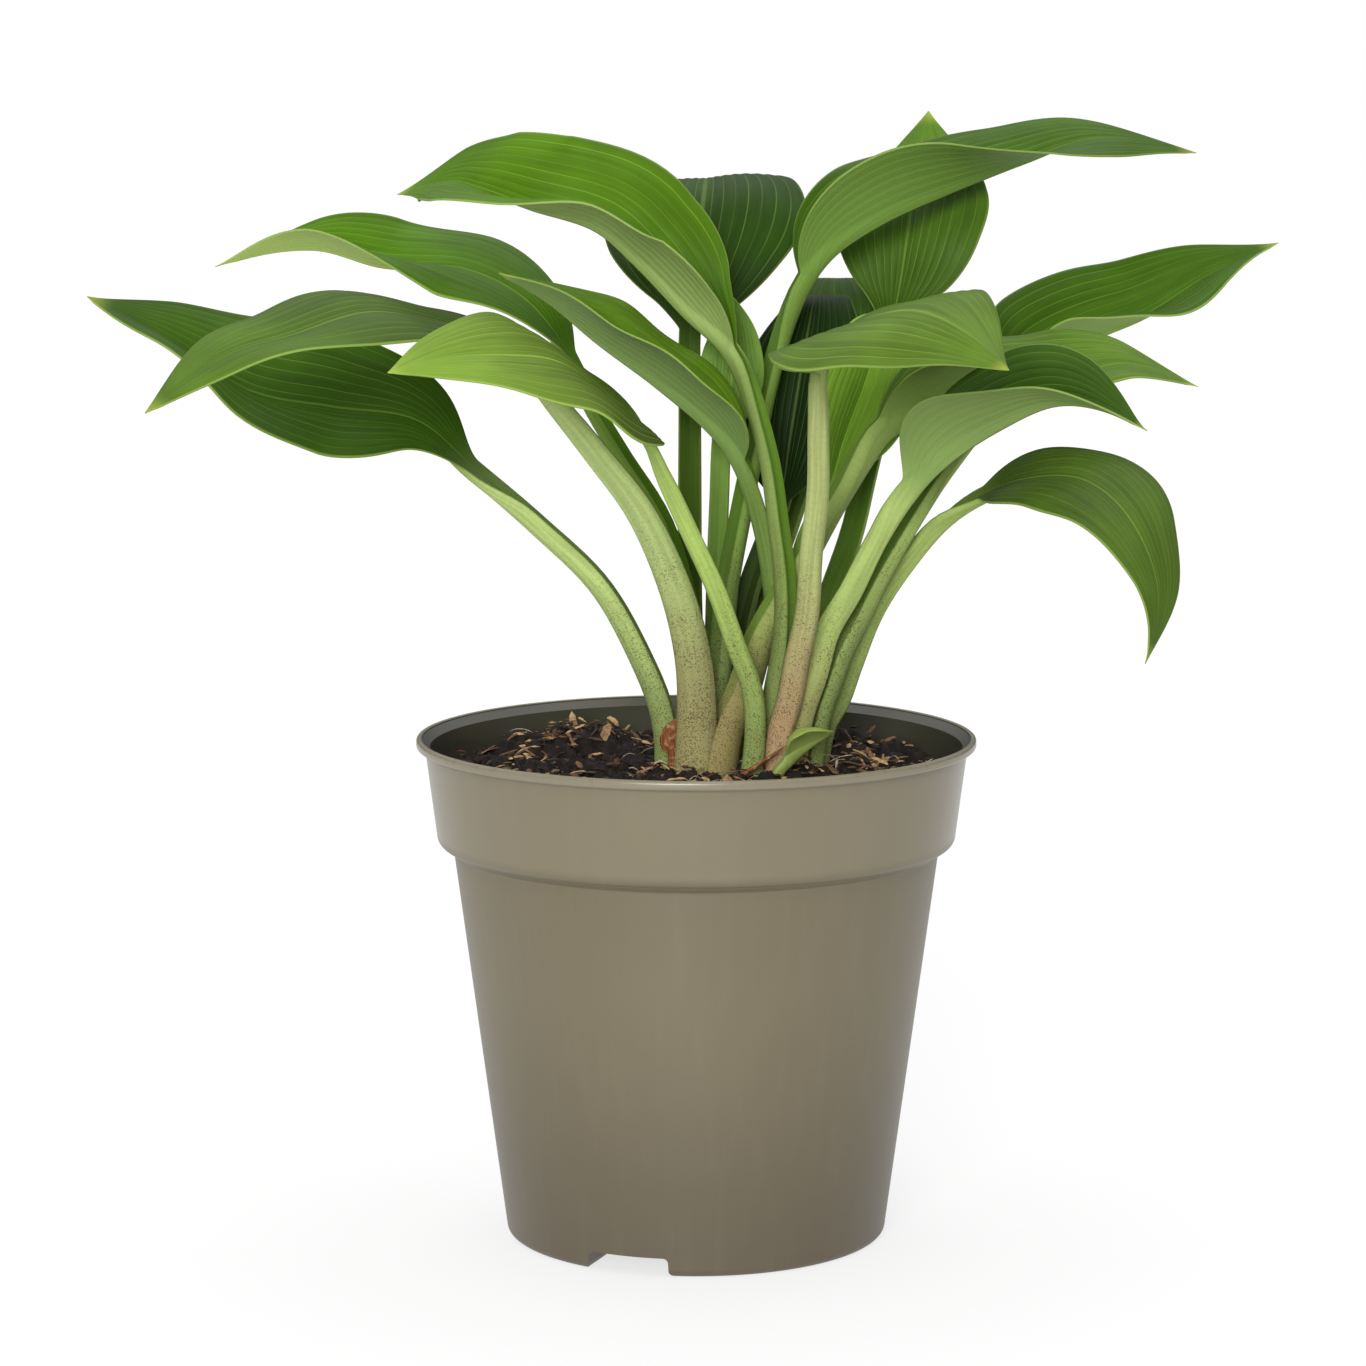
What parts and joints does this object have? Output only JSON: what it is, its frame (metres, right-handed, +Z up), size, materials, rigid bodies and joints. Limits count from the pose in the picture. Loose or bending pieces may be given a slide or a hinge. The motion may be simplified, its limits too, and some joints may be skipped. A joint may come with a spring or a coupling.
{
  "type": "potted hosta",
  "caption": "Hosta with broad ribbed leaves on channelled stalks, in a round plastic nursery pot with a rolled lip, a wide top band and drain pockets in its foot.",
  "frame": {"origin": "centre of the pot's foot, on the floor, which is the bottom centre of the bounding box", "axes": "+Z up along the pot's axis, +X to the right and -Y towards the viewer in the pictured view"},
  "size_m": [0.3682, 0.1991, 0.34],
  "materials": {
    "pot_plastic": "satin moulded taupe plastic",
    "potting_soil": "moist dark potting soil with bark chips",
    "crown_tissue": "dull woody rootstock",
    "leaf_tissue": "satin green leaf, paler and duller beneath",
    "shoot_tissue": "satin pale green shoot",
    "dry_sheath": "papery dry brown sheath"
  },
  "bodies": {
    "root": {"pot": "pot_plastic", "soil": "potting_soil", "crown": "crown_tissue", "leaf_left_low": "leaf_tissue", "leaf_left_front": "leaf_tissue", "leaf_left_back": "leaf_tissue", "leaf_left_inner": "leaf_tissue", "leaf_front_left": "leaf_tissue", "leaf_left_high": "leaf_tissue", "leaf_back_broad": "leaf_tissue", "leaf_right_high": "leaf_tissue", "leaf_front_right": "leaf_tissue", "leaf_middle_dark": "leaf_tissue", "leaf_back_upright": "leaf_tissue", "leaf_right_back": "leaf_tissue", "leaf_right_middle": "leaf_tissue", "leaf_right_front": "leaf_tissue", "leaf_right_drooping": "leaf_tissue", "leaf_middle_small": "leaf_tissue", "leaf_middle_right": "leaf_tissue", "leaf_back_low": "leaf_tissue", "young_shoot": "shoot_tissue", "dry_sheath_left": "dry_sheath", "dry_sheath_front": "dry_sheath"}
  },
  "joints": []
}
